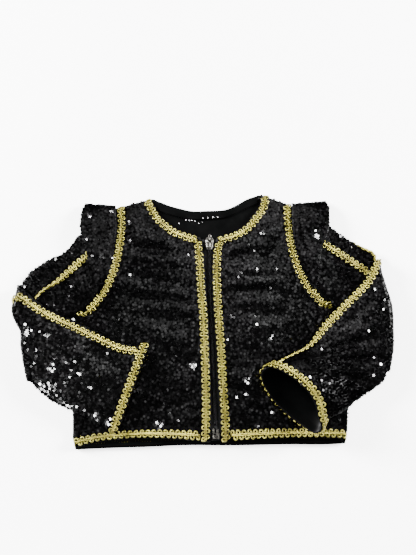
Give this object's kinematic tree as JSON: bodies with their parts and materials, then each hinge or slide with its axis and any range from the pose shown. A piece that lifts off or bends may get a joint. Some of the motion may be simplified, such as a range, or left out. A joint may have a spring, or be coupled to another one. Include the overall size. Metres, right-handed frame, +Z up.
{
  "type": "matador jacket",
  "caption": "Child's cropped collarless jacket of black sequined cloth with gold gimp braid, shoulder wings and a zip, laid flat with its sleeves folded in.",
  "frame": {"origin": "on the surface the jacket lies on, under the middle of its box", "axes": "+X to the right of the jacket seen from above, +Y from the hem to the neck, +Z up off the surface"},
  "size_m": [0.4602, 0.3166, 0.0364],
  "materials": {
    "sequin_cloth": "sequined",
    "black_satin": "satin",
    "gold_braid": "metallic thread",
    "zip_tape": "matt",
    "zip_teeth": "satin",
    "zip_metal": "nickel plated"
  },
  "bodies": {
    "jacket": {"back": "sequin_cloth", "back_neck_facing": "black_satin", "front_left": "sequin_cloth", "front_right": "sequin_cloth", "sleeve_left": "sequin_cloth", "sleeve_right": "sequin_cloth", "wing_left": "sequin_cloth", "wing_right": "sequin_cloth", "armhole_braid_left": "gold_braid", "armhole_braid_right": "gold_braid", "cuff_braid_left": "gold_braid", "cuff_braid_right": "gold_braid", "front_edge_braid_left": "gold_braid", "front_edge_braid_right": "gold_braid", "hem_braid_back": "gold_braid", "hem_braid_left": "gold_braid", "hem_braid_right": "gold_braid", "neck_braid_left": "gold_braid", "neck_braid_right": "gold_braid", "sleeve_braid_back_left": "gold_braid", "sleeve_braid_back_right": "gold_braid", "sleeve_braid_front_left": "gold_braid", "sleeve_braid_front_right": "gold_braid", "zip_tape_left": "zip_tape", "zip_tape_right": "zip_tape", "zip_teeth": "zip_teeth", "zip_box": "zip_metal", "zip_slider": "zip_metal"},
    "pull": {"zip_pull": "zip_metal"}
  },
  "joints": [
    {"name": "pull_turn", "type": "hinge", "parent": "jacket", "child": "pull", "pos_m": [0.00853, 0.09887, 0.00845], "axis": [-1, 0, 0], "range_deg": [0, 170]}
  ]
}
